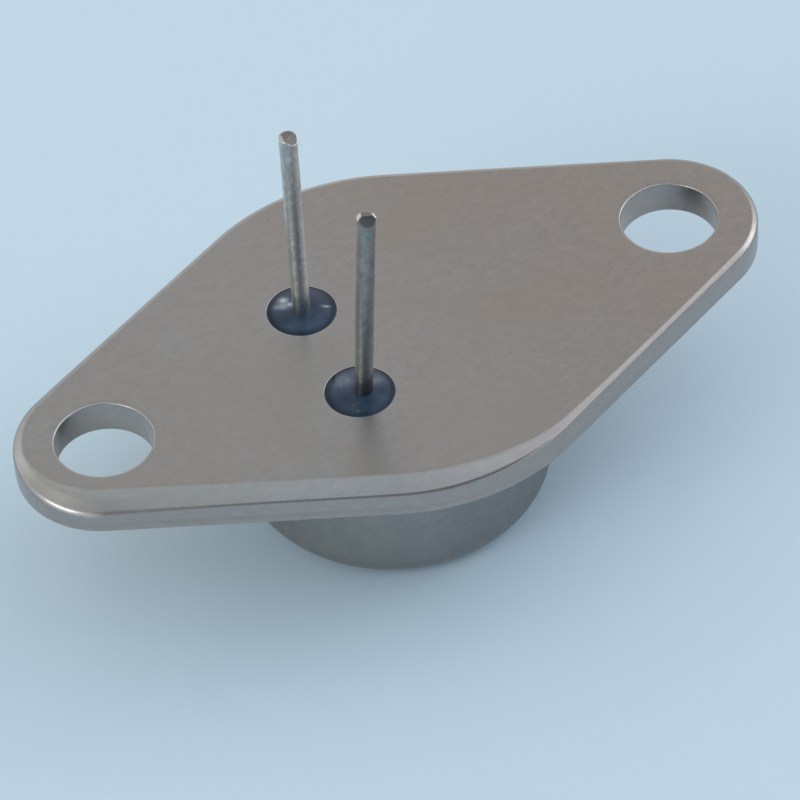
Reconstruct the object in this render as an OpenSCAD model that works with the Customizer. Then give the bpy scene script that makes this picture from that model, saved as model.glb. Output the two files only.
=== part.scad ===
// Metal-can thyristor in the small two-hole power outline, turned over: it stands on the
// flat end of its drawn cap, and its two pins point up through glass seals in the header.
// Millimetres. Origin: on the plane of the cap's flat end, below the middle of the line
// between the two mounting holes. +X runs along the holes, +Z along the upright pin.

/* [Header] */
// Distance between the centres of the two mounting holes
hole_pitch = 24.38; // [23:0.01:26]
// Diameter of each mounting hole
hole_d = 3.8; // [3:0.05:4.4]
// Radius of the round middle of the header
middle_r = 8.62; // [8.2:0.01:9.4]
// Radius of the header's two ends, each centred on its mounting hole
end_r = 3.48; // [3.1:0.01:4.2]
// Thickness of the header
header_t = 1.4; // [1.1:0.05:2.2]
// Width of the rolled edge round the seating face, in from the side
roll_w = 0.7; // [0.1:0.05:0.8]
// Drop of the rolled edge from the seating face to the side
roll_d = 0.3; // [0.1:0.05:0.5]

/* [Cap] */
// Height of the cap, from its flat end to the header
cap_h = 6.45; // [5.6:0.05:8]
// Outside diameter of the cap's wall
cap_d = 12.28; // [11.9:0.02:12.7]
// Thickness of the sheet that the cap is drawn from
cap_sheet = 0.35; // [0.2:0.05:0.5]
// Outside radius of the corner between the cap's wall and its flat end
cap_corner_r = 1.38; // [0.7:0.02:2]
// Outside diameter of the brim that is welded to the header
brim_d = 15.2; // [14.4:0.1:15.7]
// Radius of the bend from the wall into the brim
brim_bend_r = 0.4; // [0.2:0.05:0.6]
// How far the welded cap sits off the middle of the header, along X
cap_shift = -0.15; // [-0.3:0.05:0.3]

/* [Pins] */
// Diameter of both pins
pin_d = 0.71; // [0.5:0.01:0.9]
// Distance between the two pins where they leave the header
pin_pitch = 5; // [4.6:0.01:5.4]
// Distance from the row of pins to the middle of the header
pin_row = 2.59; // [2.2:0.01:3]
// Length of each pin above the seating face
pin_out = 9.25; // [6:0.05:12]
// Length of each pin inside the can, below the header
pin_in = 1.9; // [1.6:0.05:2.4]
// Chamfer round the cut ends of the pins
pin_chamfer = 0.09; // [0.02:0.01:0.15]
// Slope of the sheared facet on each pin's tip, in degrees
shear_slope = 50; // [30:1:65]
// How far the sheared facet reaches across the tip
shear_reach = 0.2; // [0.05:0.01:0.3]
// Lean of the cathode pin away from upright, in degrees
cathode_lean = 3.4; // [0:0.1:4]
// Heading that the cathode pin leans towards, in degrees from +X
lean_heading = -24.3; // [-90:0.1:90]
// Depth below the seating face of the point about which the cathode pin leans
lean_depth = 2.5; // [1:0.1:4]

/* [Glass seals] */
// Diameter of the header's hole that each bead of glass fills
seal_d = 2.71; // [2.2:0.01:3]
// Height that the glass climbs up each pin, above the header's face
glass_climb = 0.14; // [0.05:0.01:0.25]
// Depth of the glass below the header's face where it meets the hole's wall
glass_edge = 0.04; // [0:0.01:0.1]
// Radius of the hollow surface of the glass between the wall and the pin
meniscus_r = 0.9; // [0.7:0.05:2]

/* [Heat path] */
// Distance from the middle of the header to the middle of the chip's stack
stack_x = 1.9; // [1.6:0.05:2.1]
// Length of the copper heat spreader along X
spreader_l = 4.8; // [4.8:0.1:5]
// Width of the copper heat spreader along Y
spreader_w = 6; // [5:0.1:6.4]
// Thickness of the copper heat spreader
spreader_t = 0.9; // [0.5:0.05:1.1]
// Radius of the heat spreader's corners
spreader_corner_r = 0.6; // [0.2:0.1:1]
// Thickness of each layer of braze or solder
bond_t = 0.05; // [0.02:0.01:0.1]
// Diameter of the molybdenum disc under the chip
disc_d = 4.8; // [4.6:0.1:4.8]
// Thickness of the molybdenum disc
disc_t = 0.5; // [0.3:0.05:0.6]

/* [Chip] */
// Width of the square silicon chip
chip_w = 3; // [2.8:0.05:3.1]
// Thickness of the silicon chip
chip_t = 0.3; // [0.2:0.05:0.4]
// Diameter of the cathode contact plate
plate_d = 1.9; // [1.5:0.1:1.9]
// Thickness of the cathode contact plate
plate_t = 0.3; // [0.2:0.05:0.4]
// Diameter of the gate's solder pad
gate_pad_d = 0.56; // [0.4:0.02:0.6]
// Width of the chip's edge that the coating covers
coating_lap = 0.2; // [0.1:0.05:0.25]
// Depth of the coating over the chip's edge
coating_over = 0.06; // [0.05:0.01:0.12]

/* [Straps] */
// Width of the cathode strap
cathode_strap_w = 1.2; // [0.9:0.05:1.4]
// Thickness of the cathode strap
cathode_strap_t = 0.2; // [0.1:0.02:0.25]
// Width of the gate strap
gate_strap_w = 0.5; // [0.4:0.05:0.6]
// Thickness of the gate strap
gate_strap_t = 0.15; // [0.1:0.01:0.2]
// Height of each strap's loop over its foot
strap_loop = 0.9; // [0.6:0.1:1.4]
// Depth below the header at which the straps meet the pins
strap_level = 1.15; // [1:0.05:1.25]
// Clearance round each pin in the eye of its strap
eye_gap = 0.05; // [0.02:0.01:0.1]

/* [Hidden] */
$fn = 96;

seat_z = cap_h + header_t;
cap_r = cap_d / 2;
brim_r = brim_d / 2;
pin_r = pin_d / 2;
seal_r = seal_d / 2;
GATE = 1;      // side of the header, along Y, that holds the gate pin
CATHODE = -1;  // side that holds the cathode pin
over = 0.2;    // how far a cutting shape runs past the face it cuts

// Depths of the stacked layers below the header's inner face.
spreader_at = bond_t;
disc_at = spreader_at + spreader_t + bond_t;
chip_at = disc_at + disc_t + bond_t;
chip_face = chip_at + chip_t;
plate_at = chip_face + bond_t;
strap_foot_at = plate_at + plate_t + bond_t;

// Plan positions on the chip, from the middle of its stack.
chip_window = chip_w - 2 * coating_lap;
plate_offset = (chip_window - plate_d) / 2 - 0.1;
plate_xy = [stack_x + plate_offset, -plate_offset];
gate_offset = (chip_window - gate_pad_d) / 2 - 0.07;
gate_xy = [stack_x - gate_offset, gate_offset];

// A strap's foot, its eye round the pin, and the radius and steps of its bends.
foot_l = 1.2;
gate_foot_l = 0.5;
eye_d = 1.3;
strap_bend_r = 0.25;
bend_steps = 4;
joint_h = 0.3;
joint_lip = 0.22;

// ---- helpers ----

// Seat frame of a pin: its axis is local Z, and local zero is level with the seating face.
module at_pin(side) {
    lean = side == CATHODE ? cathode_lean : 0;
    translate([-pin_row, side * pin_pitch / 2, seat_z - lean_depth])
        rotate([0, lean, lean_heading])
            translate([0, 0, lean_depth])
                rotate([0, 0, -lean_heading]) children();
}

// A plain rod along a pin's axis, for the pin's bores in its neighbours.
module pin_rod(side, gap = 0) {
    at_pin(side) translate([0, 0, -header_t - pin_in - over])
        cylinder(h = header_t + pin_in + pin_out, r = pin_r + gap);
}

// Centre of the circle of radius r through a and b, on the left of the way from a to b.
function arc_centre(a, b, r) =
    let (chord = b - a, half = norm(chord) / 2, left = [-chord.y, chord.x] / norm(chord))
    (a + b) / 2 + left * sqrt(r * r - half * half);

function unit(v) = v / norm(v);

// The points of a rounded bend of radius r at corner b, between a and c.
function bend(a, b, c, r) =
    let (u = unit(a - b), w = unit(c - b), half = acos(u * w) / 2,
         centre = b + unit(u + w) * r / sin(half),
         from = unit(b + u * r / tan(half) - centre), to = unit(b + w * r / tan(half) - centre))
    [for (i = [0:bend_steps])
        centre + r * unit(from * (1 - i / bend_steps) + to * (i / bend_steps))];

// A centre line with each inner corner rounded.
function bent_line(p, r) =
    [p[0], for (i = [1:len(p) - 2]) each bend(p[i - 1], p[i], p[i + 1], r), p[len(p) - 1]];

// The line at distance d to the left of a centre line, with mitred corners.
function beside(p, d) =
    [for (i = [0:len(p) - 1])
        let (last = len(p) - 1, a = max(i, 1), b = min(i + 1, last),
             t = unit(p[a] - p[a - 1]), m = unit(t + unit(p[b] - p[b - 1])))
        p[i] + [-m.y, m.x] * d / (m * t)];

// The outline of a strip of thickness t along a centre line.
function strip(p, t) =
    let (near = beside(p, t / 2), far = beside(p, -t / 2))
    concat(near, [for (i = [len(far) - 1:-1:0]) far[i]]);

// ---- header ----

// A disc of the header's stock whose upper edge is rolled over.
module rolled_disc(r) {
    rotate_extrude() difference() {
        square([r, header_t]);
        translate([r - roll_w, header_t - roll_d]) difference() {
            square([roll_w + over, roll_d + over]);
            scale([roll_w, roll_d]) circle(r = 1, $fn = 24);
        }
    }
}

// The oval blank: the rolled edge runs round all three discs and along the flanks.
module header() {
    color("#8f8d8a") translate([0, 0, cap_h]) difference() {
        hull() {
            rolled_disc(middle_r);
            for (side = [-1, 1]) translate([side * hole_pitch / 2, 0, 0]) rolled_disc(end_r);
        }
        for (side = [-1, 1]) {
            translate([side * hole_pitch / 2, 0, -over])
                cylinder(h = header_t + 2 * over, d = hole_d);
            translate([-pin_row, side * pin_pitch / 2, -over])
                cylinder(h = header_t + 2 * over, d = seal_d);
        }
    }
}

// ---- cap ----

// Half section of a straight cup of radius r and height h, with a rounded lower corner.
module cup_section(r, corner, h) {
    difference() {
        square([r, h]);
        translate([r - corner, corner]) difference() {
            translate([0, -corner - over]) square(corner + over);
            circle(r = corner);
        }
    }
}

// Quarter ring of stock left between a square corner and a circle of radius r, in the
// bend from the wall into the brim.
module brim_corner(r) {
    translate([cap_r + brim_bend_r, cap_h - cap_sheet - brim_bend_r]) difference() {
        translate([-r - over, 0]) square(r + over);
        circle(r = r);
    }
}

module cap() {
    inner_r = cap_r - cap_sheet;
    color("#60686f") translate([cap_shift, 0, 0]) rotate_extrude() difference() {
        union() {
            cup_section(cap_r, cap_corner_r, cap_h);
            translate([0, cap_h - cap_sheet]) square([brim_r, cap_sheet]);
            intersection() {
                brim_corner(brim_bend_r);
                square([brim_r, cap_h]);
            }
        }
        translate([0, cap_sheet])
            cup_section(inner_r, cap_corner_r - cap_sheet, cap_h);
        intersection() {
            brim_corner(brim_bend_r + cap_sheet);
            square([cap_r + brim_bend_r, cap_h + over]);
        }
    }
}

// ---- pins and glass ----

// A cut-off wire pin. The sheared facet on its tip faces the given heading.
module pin(side, facet_heading) {
    bottom = -header_t - pin_in;
    at_pin(side) difference() {
        union() {
            translate([0, 0, bottom]) cylinder(h = pin_chamfer, r1 = pin_r - pin_chamfer, r2 = pin_r);
            translate([0, 0, bottom + pin_chamfer])
                cylinder(h = pin_out - bottom - 2 * pin_chamfer, r = pin_r);
            translate([0, 0, pin_out - pin_chamfer])
                cylinder(h = pin_chamfer, r1 = pin_r, r2 = pin_r - pin_chamfer);
        }
        rotate([0, 0, facet_heading])
            translate([pin_r - shear_reach, 0, pin_out]) rotate([0, shear_slope, 0])
                translate([-pin_d, -pin_d, 0]) cube(2 * pin_d);
    }
}

module gate_pin() { color("#8d9396") pin(GATE, -30); }

module cathode_pin() { color("#8d9396") pin(CATHODE, 150); }

// A bead of glass that fills its hole and climbs the pin in a hollow curve at both faces.
module glass_seal(side) {
    top = [pin_r, glass_climb];
    rim = [seal_r, -glass_edge];
    centre = arc_centre(top, rim, meniscus_r);
    difference() {
        translate([-pin_row, side * pin_pitch / 2, cap_h + header_t / 2]) rotate_extrude()
            difference() {
                translate([0, -header_t / 2 - glass_climb])
                    square([seal_r, header_t + 2 * glass_climb]);
                for (up = [0, 1]) mirror([0, up, 0]) translate([0, header_t / 2] + centre)
                    circle(r = meniscus_r);
            }
        pin_rod(side);
    }
}

module gate_glass_seal() { color("#26323f") glass_seal(GATE); }

module cathode_glass_seal() { color("#26323f") glass_seal(CATHODE); }

// ---- heat path and chip: layers hang below the header's inner face ----

// Places a layer: depth is its near face and t its thickness; z runs from 0 to t.
module layer(depth, t, xy = [stack_x, 0]) {
    translate([xy.x, xy.y, cap_h - depth - t]) children();
}

module spreader_plan(t) {
    l = spreader_l / 2 - spreader_corner_r;
    w = spreader_w / 2 - spreader_corner_r;
    linear_extrude(t) union() {
        square([spreader_l, 2 * w], center = true);
        square([2 * l, spreader_w], center = true);
        for (x = [-l, l], y = [-w, w]) translate([x, y]) circle(r = spreader_corner_r);
    }
}

module chip_block(t) { linear_extrude(t) square(chip_w, center = true); }

module spreader_braze() { color("#c9b27a") layer(0, bond_t) spreader_plan(bond_t); }

module heat_spreader() { color("#b87a52") layer(spreader_at, spreader_t) spreader_plan(spreader_t); }

module disc_solder() {
    color("#a9aaac") layer(spreader_at + spreader_t, bond_t) cylinder(h = bond_t, d = disc_d);
}

module molybdenum_disc() { color("#8a8c92") layer(disc_at, disc_t) cylinder(h = disc_t, d = disc_d); }

module chip_solder() { color("#a9aaac") layer(disc_at + disc_t, bond_t) chip_block(bond_t); }

module silicon_chip() { color("#4d5058") layer(chip_at, chip_t) chip_block(chip_t); }

// A soft ring over the edge of the chip, open over its contacts.
module junction_coating() {
    t = bond_t + chip_t + coating_over;
    shoulder = t * 0.8;
    rim_r = disc_d / 2 - 0.1;
    color("#c8c2b4") layer(disc_at + disc_t, t) difference() {
        rotate_extrude() difference() {
            square([rim_r, t]);
            translate([rim_r - shoulder, shoulder]) difference() {
                translate([0, -shoulder - over]) square(shoulder + over);
                circle(r = shoulder);
            }
        }
        translate([0, 0, coating_over]) chip_block(t);
        translate([0, 0, -over]) linear_extrude(t) square(chip_window, center = true);
    }
}

module plate_solder() {
    color("#a9aaac") layer(chip_face, bond_t, plate_xy) cylinder(h = bond_t, d = plate_d);
}

module cathode_plate() {
    color("#9a9ca0") layer(plate_at, plate_t, plate_xy) cylinder(h = plate_t, d = plate_d);
}

module strap_solder() {
    color("#a9aaac") layer(plate_at + plate_t, bond_t, plate_xy) cylinder(h = bond_t, d = foot_l);
}

module gate_pad() {
    color("#a9aaac") layer(chip_face, bond_t, gate_xy) cylinder(h = bond_t, d = gate_pad_d);
}

// ---- straps ----

// Point of a pin's axis at a depth below the header's inner face, in plan.
function pin_xy(side, depth) =
    let (slide = side == CATHODE ? tan(cathode_lean) * (lean_depth - header_t - depth) : 0)
    [-pin_row, side * pin_pitch / 2] + slide * [cos(lean_heading), sin(lean_heading)];

// A folded strip from its foot on the chip, over a loop, to an eye round the pin.
module strap(side, foot, foot_depth, foot_len, w, t) {
    way = pin_xy(side, strap_level) - foot;
    reach = norm(way);
    foot_y = -foot_depth - t / 2;
    crest_y = foot_y - strap_loop;
    eye_y = -strap_level;
    line = [[-foot_len / 2, foot_y], [foot_len / 2, foot_y],
            [foot_len / 2 + strap_loop, crest_y],
            [reach - eye_d / 2 - (eye_y - crest_y), crest_y],
            [reach - eye_d / 2, eye_y], [reach, eye_y]];
    difference() {
        translate([foot.x, foot.y, cap_h]) rotate([0, 0, atan2(way.y, way.x)]) {
            rotate([90, 0, 0]) linear_extrude(w, center = true)
                polygon(strip(bent_line(line, strap_bend_r), t));
            translate([reach, 0, -strap_level - t / 2]) cylinder(h = t, d = eye_d);
        }
        pin_rod(side, eye_gap);
    }
}

// A cone of solder round the pin, on the far face of its strap.
module pin_joint(side, strap_t) {
    xy = pin_xy(side, strap_level);
    difference() {
        translate([xy.x, xy.y, cap_h - strap_level - strap_t / 2 - joint_h])
            cylinder(h = joint_h, r1 = pin_r + eye_gap, r2 = pin_r + joint_lip);
        pin_rod(side);
    }
}

module cathode_strap() {
    color("#b9b6ad")
        strap(CATHODE, plate_xy, strap_foot_at, foot_l, cathode_strap_w, cathode_strap_t);
}

module gate_strap() {
    color("#b9b6ad")
        strap(GATE, gate_xy, plate_at, gate_foot_l, gate_strap_w, gate_strap_t);
}

module cathode_pin_joint() { color("#a9aaac") pin_joint(CATHODE, cathode_strap_t); }

module gate_pin_joint() { color("#a9aaac") pin_joint(GATE, gate_strap_t); }

// ---- drawing ----

header();
cap();
gate_pin();
cathode_pin();
gate_glass_seal();
cathode_glass_seal();
heat_spreader();
spreader_braze();
molybdenum_disc();
disc_solder();
silicon_chip();
chip_solder();
junction_coating();
cathode_plate();
plate_solder();
cathode_strap();
strap_solder();
cathode_pin_joint();
gate_pad();
gate_strap();
gate_pin_joint();
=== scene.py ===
# A metal-can thyristor standing on the flat end of its cap, pins up, in the soft light of a
# room. The header, the cap, the two pins and the two glass seals are surfaces worked out
# here with numpy. The pieces sealed inside the can keep the frame's own shapes, with
# finishes of their own. Shapes are worked out in millimetres. Lights and patterns are in
# metres, as the frame is.

import math

import bpy
import numpy as np
from mathutils import Matrix, Vector
from mathutils.geometry import delaunay_2d_cdt


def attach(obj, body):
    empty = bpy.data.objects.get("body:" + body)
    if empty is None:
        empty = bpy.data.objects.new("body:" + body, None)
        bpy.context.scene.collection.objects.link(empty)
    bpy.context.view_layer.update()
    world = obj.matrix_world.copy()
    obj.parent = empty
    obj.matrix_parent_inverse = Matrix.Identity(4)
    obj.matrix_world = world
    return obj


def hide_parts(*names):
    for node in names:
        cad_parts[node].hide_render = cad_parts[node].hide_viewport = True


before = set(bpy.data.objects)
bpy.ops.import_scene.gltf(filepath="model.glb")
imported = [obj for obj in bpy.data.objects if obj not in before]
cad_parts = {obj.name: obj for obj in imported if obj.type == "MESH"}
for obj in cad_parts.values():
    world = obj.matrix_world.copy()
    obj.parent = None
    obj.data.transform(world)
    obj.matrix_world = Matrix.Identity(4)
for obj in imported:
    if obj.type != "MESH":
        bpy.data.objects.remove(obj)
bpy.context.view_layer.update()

MM = 0.001
BODY = "root"

# ---- sizes that the solids have too ----

HOLE_X = 12.19        # from the middle of the header to each mounting hole
HOLE_R = 1.9
MIDDLE_R = 8.62       # round middle of the header
END_R = 3.48          # its two round ends
FACE_Z = 6.45         # header's inner face, where the cap's brim is welded
SEAT_Z = 7.85         # header's seating face

CAP_X = -0.15         # the welded cap sits this far off the header's middle
CAP_R = 6.14
CAP_SHEET = 0.35
CAP_CORNER_R = 1.38
BRIM_R = 7.6
BRIM_BEND_R = 0.4

PIN_X, PIN_Y = -2.59, 2.5
PIN_R = 0.355
PIN_OUT = 9.25        # above the seating face
PIN_IN = 1.9          # below the inner face
PIN_CHAMFER = 0.09
LEAN = math.radians(3.4)                # the cathode pin was bent a little
LEAN_HEADING = math.radians(-24.3)
LEAN_DEPTH = 2.5                        # of the bend's centre, below the seating face

SEAL_R = 1.355


# ---- building surfaces ----

def ring_quads(rows, columns, first=0, close_rows=False):
    """Quads between neighbouring rings of a grid of points. Each ring is one row, closed
    on itself; close_rows also joins the last ring to the first one."""
    row = np.arange(rows if close_rows else rows - 1)[:, None]
    column = np.arange(columns)[None, :]
    below, beside = (row + 1) % rows, (column + 1) % columns
    corners = [row * columns + column, row * columns + beside,
               below * columns + beside, below * columns + column]
    return first + np.stack(np.broadcast_arrays(*corners), axis=-1).reshape(-1, 4)


def pole_fans(rows, columns):
    """Triangles that close a stack of rings at both ends, each end to a single point. The
    two points come after the rings: first the one for the first ring, then the other."""
    here = np.arange(columns)
    there = (here + 1) % columns
    last_ring, poles = (rows - 1) * columns, rows * columns
    return [np.stack([there, here, np.full(columns, poles)], axis=-1),
            np.stack([last_ring + here, last_ring + there, np.full(columns, poles + 1)],
                     axis=-1)]


def arc(centre, radii, start, stop, steps):
    """Points of an elliptical arc: centre + (a cos t, b sin t) for t from start to stop,
    in degrees, in even steps."""
    t = np.radians(np.linspace(start, stop, steps + 1))
    return np.asarray(centre) + np.stack([radii[0] * np.cos(t), radii[1] * np.sin(t)], -1)


def turned(profile, x=0.0, y=0.0, columns=192):
    """A profile of (r, z) points turned about an upright axis through x, y:
    (x + r cos t, y + r sin t, z), with a ring of points for each point of the profile."""
    angle = np.linspace(0, 2 * math.pi, columns, endpoint=False)
    r, z = profile[:, :1], profile[:, 1:]
    return np.stack([x + r * np.cos(angle), y + r * np.sin(angle),
                     np.broadcast_to(z, (len(profile), columns))], axis=-1)


def finish_piece(name, points, faces, material, node, marks, sharp=32.0):
    """One closed piece from points in millimetres and lists of faces, shaded smooth except
    across corners sharper than the given angle. marks are values for each point that its
    material reads by name, such as how rubbed it is."""
    mesh = bpy.data.meshes.new(name)
    mesh.from_pydata((points.reshape(-1, 3) * MM).tolist(), [],
                     [f for part in faces for f in part.tolist()])
    for mark, values in marks.items():
        mesh.attributes.new(mark, "FLOAT", "POINT").data.foreach_set(
            "value", np.ascontiguousarray(values, dtype=np.float32).ravel())
    mesh.shade_smooth()
    mesh.set_sharp_from_angle(angle=math.radians(sharp))
    mesh.materials.append(material)
    piece = bpy.data.objects.new(name, mesh)
    bpy.context.scene.collection.objects.link(piece)
    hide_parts(node)
    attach(piece, BODY)


# ---- header ----

RIM_BAND = 1.13       # width of the band between the flat field and the side
TORN_Z = 0.36         # height of the rough, torn foot of the blanked side
TORN_IN = (0.012, 0.022)            # how far that foot steps in, at its top and its bottom
TORN_LEDGE = 0.03     # height of the step down to it
LOWER_EDGE_R = 0.05   # radius of the side's lower edge
SIDE_RINGS_Z = (0.50, 0.1)          # height of a ring of points over the foot, and low on it
FACE_RING = 0.3       # distance in from the side to a ring of points on the inner face

HOLE_LIP, SEAL_LIP = 0.08, 0.03     # width of the holes' rounded lips
LIP_FALL = 0.7        # height of a lip, as a share of its width
LIP_BORDER = 0.2      # width of the flat ring round a lip
HOLE_EDGE_R = 0.04    # radius of the holes' lower edges
HOLE_RING_Z = 0.6     # height of a ring of points on their plain walls

# How the blanking die rolled the edge over, at places round the outline: 0 to 1 is the
# right end, 2 to 3 the back of the round middle, 4 to 5 the left end, 6 to 7 the front of
# the middle, and the flanks lie between. The roll is deepest round the left end. Its depth
# is down from the seating face and its width is in from the side. Its tightness is the
# radius of the arc at its brink, as a share of the smaller of the two.
ROLL_PLACES = (0.0, 0.12, 0.3, 0.6, 1.0, 1.5, 2.5, 3.5, 4.0, 4.5, 4.75, 4.95, 5.1, 5.3, 5.6,
               5.9, 6.3, 6.6, 6.8, 7.0, 7.3, 7.8)
ROLL_DEPTHS = (0.24, 0.26, 0.26, 0.24, 0.20, 0.16, 0.16, 0.17, 0.20, 0.42, 0.80, 0.86, 0.74,
               0.58, 0.52, 0.54, 0.54, 0.40, 0.31, 0.24, 0.20, 0.20)
ROLL_WIDTHS = (0.25, 0.28, 0.28, 0.26, 0.24, 0.26, 0.26, 0.26, 0.30, 0.62, 0.98, 1.06, 1.04,
               1.00, 0.98, 0.98, 0.98, 0.80, 0.54, 0.32, 0.21, 0.21)
ROLL_TIGHTNESS = (0.80, 0.80, 0.80, 0.80, 0.80, 0.80, 0.80, 0.70, 0.60, 0.56, 0.56, 0.57,
                  0.52, 0.46, 0.46, 0.48, 0.60, 0.70, 0.72, 0.76, 0.80, 0.80)
ROLL_BLUR = 0.15      # these are averaged this far to each side of a place
SETTLE = 0.65         # share of the way out over which the roll's steepness grows

ROLL_SHADE = -0.14     # painted shade: the plate is darkened where the roll turns down, dimming the light it catches
SEAL_BORE_SHADE = -0.85     # painted shade: the bores of the glass seals are darkened nearly to black, as the narrow gap above the glass in shadow
ROLL_RUB = 0.25       # how rubbed the roll is where its arc starts
BRINK_RUB = (0.3, 0.1)              # and from the start of its arc to the end
LIP_RUB = 0.4         # how rubbed the lips of the mounting holes are
SIDE_SHEAR = 0.75     # how bright the sheared side is, beside the walls of these holes


def outline(arc_steps=48, flank_steps=32):
    """Runs round the tight outline of three discs. Each station has a disc's centre, its
    radius, the outward heading and the place: on an end the heading turns, and on a flank
    the centre and radius slide from one disc to the next while the heading holds still, so
    that centre + radius * heading traces the straight tangent."""
    tangent = math.acos((MIDDLE_R - END_R) / HOLE_X)
    corners = [(HOLE_X, END_R, -tangent, tangent), (0.0, MIDDLE_R, tangent, math.pi - tangent),
               (-HOLE_X, END_R, math.pi - tangent, math.pi + tangent),
               (0.0, MIDDLE_R, math.pi + tangent, 2 * math.pi - tangent)]
    turn = np.linspace(0, 1, arc_steps, endpoint=False)
    slide = np.linspace(0, 1, flank_steps, endpoint=False)
    stations = []
    for number, ((x, r, start, stop), (next_x, next_r, *_)) in enumerate(
            zip(corners, corners[1:] + corners[:1])):
        stations += [np.stack([np.full(arc_steps, x), np.full(arc_steps, r),
                               start + (stop - start) * turn, 2 * number + turn]),
                     np.stack([x + (next_x - x) * slide, r + (next_r - r) * slide,
                               np.full(flank_steps, stop), 2 * number + 1 + slide])]
    return np.concatenate(stations, axis=1)


def roll_sizes(place):
    """Depth, width and tightness of the rolled edge at each place: read off in straight
    lines between the listed places, and averaged over a short stretch."""
    near = place + np.linspace(-ROLL_BLUR, ROLL_BLUR, 9)[:, None]
    return [np.interp(near, ROLL_PLACES, values, period=8).mean(axis=0)
            for values in (ROLL_DEPTHS, ROLL_WIDTHS, ROLL_TIGHTNESS)]


def side_profile(place, fall_steps=20, turn_steps=10):
    """Distance in from the side and height, down the rim from the flat field to the inner
    face, for each place. The steepness grows smoothly over the first SETTLE of the way out
    and then holds, so the fall is a share
    (SETTLE * (s^3 - s^4 / 2) + beyond) / (1 - SETTLE / 2) with s = min(out / SETTLE, 1).
    A tight arc goes on from that slope and turns into the upright side, and the torn foot
    is a little smaller. The slope where they meet is found by repeating it a few times.
    Also returns how rubbed, how sheared and how much painted shade each row of points has."""
    depth, width, tightness = roll_sizes(place)
    tight = tightness * np.minimum(depth, width)
    first_guess, repeats = 0.5, 12
    slope = np.full(len(place), first_guess)
    for _ in range(repeats):
        run = width - tight * (1 - np.sin(slope))
        fall = depth - tight * np.cos(slope)
        slope = np.arctan(fall / run / (1 - SETTLE / 2))
    out = np.linspace(0, 1, fall_steps + 1)
    settled = np.minimum(out / SETTLE, 1)
    fallen = ((SETTLE * (settled ** 3 - settled ** 4 / 2) + np.maximum(out - SETTLE, 0))
              / (1 - SETTLE / 2))
    turn = slope + (math.pi / 2 - slope) * np.linspace(0, 1, turn_steps + 1)[1:, None]
    inset = [np.full((1, len(place)), RIM_BAND), width - run * out[:, None],
             tight * (1 - np.sin(turn))]
    height = [np.full((1, len(place)), SEAT_Z), SEAT_Z - fall * fallen[:, None],
              SEAT_Z - depth + tight * np.cos(turn)]
    foot = np.concatenate([
        [[0.0, SIDE_RINGS_Z[0]], [0.0, TORN_Z + TORN_LEDGE],
         [TORN_IN[0], TORN_Z], [TORN_IN[1], SIDE_RINGS_Z[1]]],
        arc((TORN_IN[1] + LOWER_EDGE_R, LOWER_EDGE_R), (-LOWER_EDGE_R, -LOWER_EDGE_R),
            0, 90, 4),
        [[FACE_RING, 0.0], [RIM_BAND, 0.0]]])
    inset.append(np.repeat(foot[:, :1], len(place), axis=1))
    height.append(np.repeat(FACE_Z + foot[:, 1:], len(place), axis=1))
    before, after = np.zeros(1), np.zeros(len(foot))
    marks = {
        "edge": np.concatenate([before, ROLL_RUB * out ** 4,
                                np.linspace(*BRINK_RUB, turn_steps), after]),
        # painted shade over the roll and its arc
        "tone": np.concatenate([before, ROLL_SHADE * (out ** 0.5 + out ** 4) / 2,
                                ROLL_SHADE * np.linspace(1, 0.3, turn_steps), after]),
        "sheared": SIDE_SHEAR * np.concatenate([before, 0 * out,
                                                np.linspace(0.1, 1, turn_steps) ** 2,
                                                after + 1]),
    }
    return np.concatenate(inset), np.concatenate(height), marks


def side_band():
    """The rim profile carried round the outline: centre + (radius - inset) * heading.
    Returns the points, and each one's marks."""
    x, r, heading, place = outline()
    inset, height, marks = side_profile(place)
    reach = r - inset
    points = np.stack([x + reach * np.cos(heading), reach * np.sin(heading), height], axis=-1)
    return points, {mark: [np.repeat(row, len(place))] for mark, row in marks.items()}


def bore(x, y, radius, lip):
    """A hole's wall as rings of points. Its profile has a quarter of an ellipse for the
    rounded lip at the seating face and a quarter of a circle for the lower edge."""
    border, lip_fall = radius + lip + LIP_BORDER, lip * LIP_FALL
    profile = np.concatenate([
        [[border, SEAT_Z]],
        arc((radius + lip, SEAT_Z - lip_fall), (-lip, lip_fall), 90, 0, 8),
        [[radius, FACE_Z + HOLE_RING_Z]],
        arc((radius + HOLE_EDGE_R, FACE_Z + HOLE_EDGE_R), (-HOLE_EDGE_R, -HOLE_EDGE_R),
            0, 90, 3),
        [[border, FACE_Z]],
    ])
    return turned(profile, x, y, columns=96)


def bore_marks(band, mounting):
    """How rubbed, how sheared and how dark each point of a hole's wall is: a mounting hole
    has rubbed lips and sheared walls, and a glass seal's bore is darkened with painted shade."""
    lip_z, lip_reach, wall_reach = SEAT_Z - 0.03, 0.08, 0.1
    depth = SEAT_Z - band[..., 2]
    near_lip = np.clip(1 - np.abs(band[..., 2] - lip_z) / lip_reach, 0, 1)
    near_lip[0] = 0
    wall = np.clip(depth / wall_reach, 0, 1)
    return {"edge": LIP_RUB * mounting * near_lip, "sheared": mounting * wall,
            # painted shade: a seal's bore darkened nearly black
            "tone": (not mounting) * SEAL_BORE_SHADE * wall}


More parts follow.
